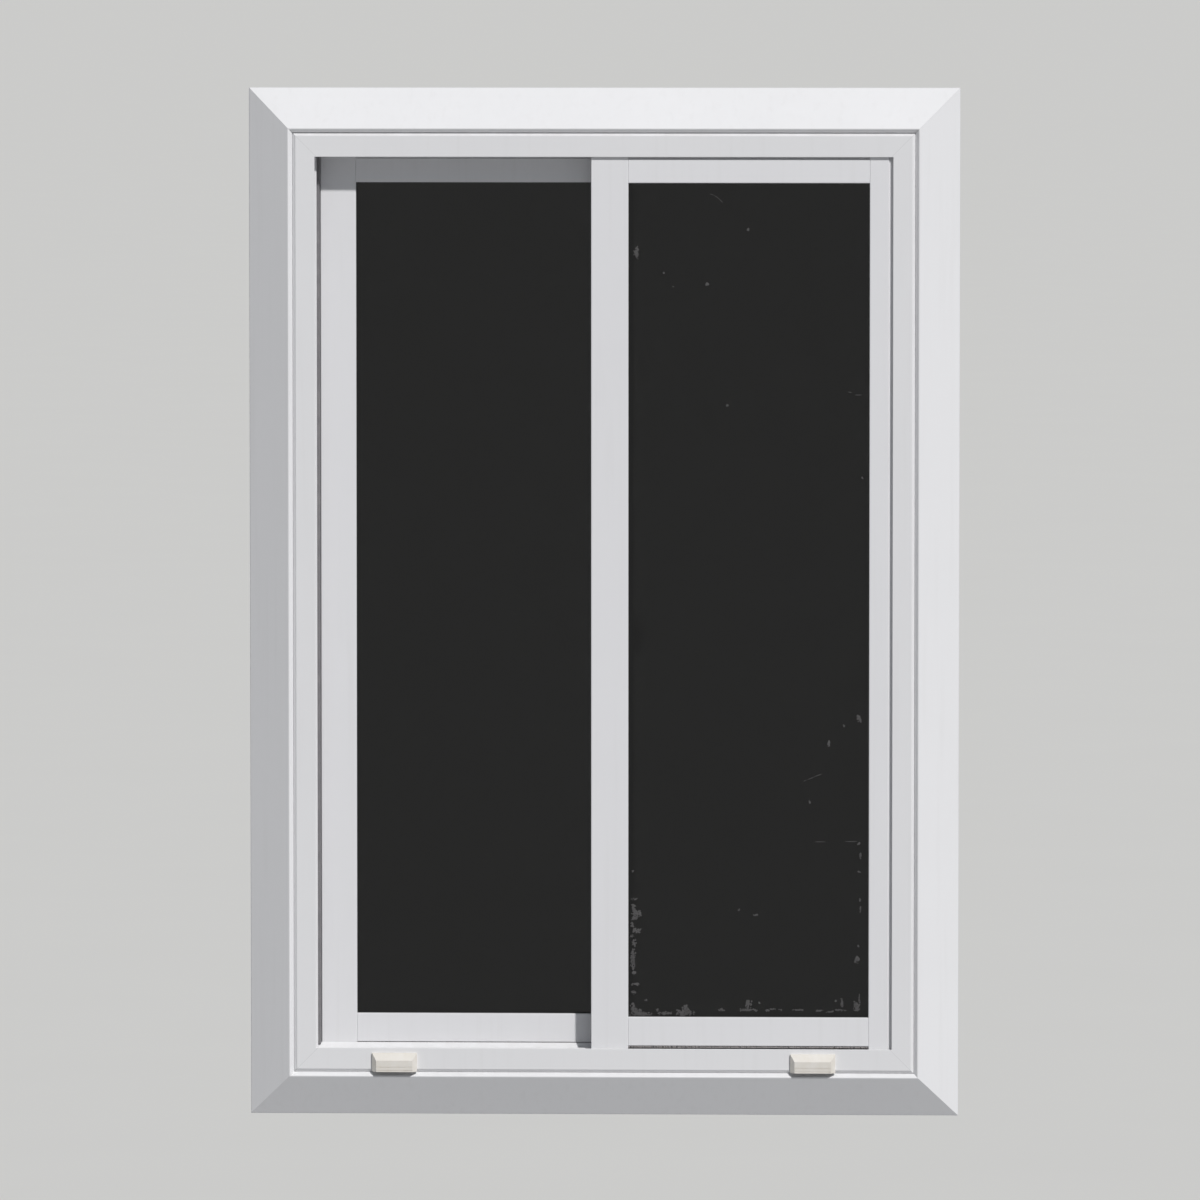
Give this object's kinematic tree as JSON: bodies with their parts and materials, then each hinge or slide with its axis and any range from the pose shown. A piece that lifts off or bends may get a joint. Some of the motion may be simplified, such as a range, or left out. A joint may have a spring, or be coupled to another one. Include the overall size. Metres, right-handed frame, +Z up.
{
  "type": "two-sash sliding window with casing",
  "caption": "Upright white sliding window: mitred track frame, overlapping dark-glazed sashes, sloped mitred casing and drain covers, fixed to a thin wall by a fin.",
  "frame": {"origin": "on the back face of the fixing fin below the sill, at mid-width and half-way up the fin; the wall's outer surface is Y = 0", "axes": "+Z up, +X to the right as seen from outdoors, +Y in through the wall to the room"},
  "size_m": [0.915, 0.095, 1.327],
  "materials": {
    "frame_white": "satin white powder coat on an aluminium extrusion",
    "casing_white": "satin white powder coat on folded aluminium",
    "sash_white": "satin white powder coat on an aluminium extrusion",
    "dark_glass": "dark tinted float glass",
    "spacer": "mill finish",
    "gasket": "matt black rubber",
    "setting_block": "moulded plastic",
    "wheel": "moulded nylon",
    "carrier": "pressed steel",
    "cream_plastic": "cream moulded plastic",
    "latch_white": "satin white paint",
    "keeper_steel": "satin steel"
  },
  "bodies": {
    "root": {"casing_head": "casing_white", "casing_left": "casing_white", "casing_right": "casing_white", "casing_sill": "casing_white", "frame_head": "frame_white", "frame_left": "frame_white", "frame_right": "frame_white", "frame_sill": "frame_white", "latch_base": "latch_white", "latch_cam": "latch_white", "latch_keeper": "keeper_steel", "left_bottom_rail": "sash_white", "left_carriers": "carrier", "left_drain_cover": "cream_plastic", "left_glass_spacer": "spacer", "left_inner_gasket": "gasket", "left_inner_pane": "dark_glass", "left_jamb_stile": "sash_white", "left_meeting_stile": "sash_white", "left_outer_gasket": "gasket", "left_outer_pane": "dark_glass", "left_setting_blocks": "setting_block", "left_top_rail": "sash_white", "left_wheels": "wheel", "right_bottom_rail": "sash_white", "right_carriers": "carrier", "right_drain_cover": "cream_plastic", "right_glass_spacer": "spacer", "right_inner_gasket": "gasket", "right_inner_pane": "dark_glass", "right_jamb_stile": "sash_white", "right_meeting_stile": "sash_white", "right_outer_gasket": "gasket", "right_outer_pane": "dark_glass", "right_setting_blocks": "setting_block", "right_top_rail": "sash_white", "right_wheels": "wheel"}
  },
  "joints": []
}
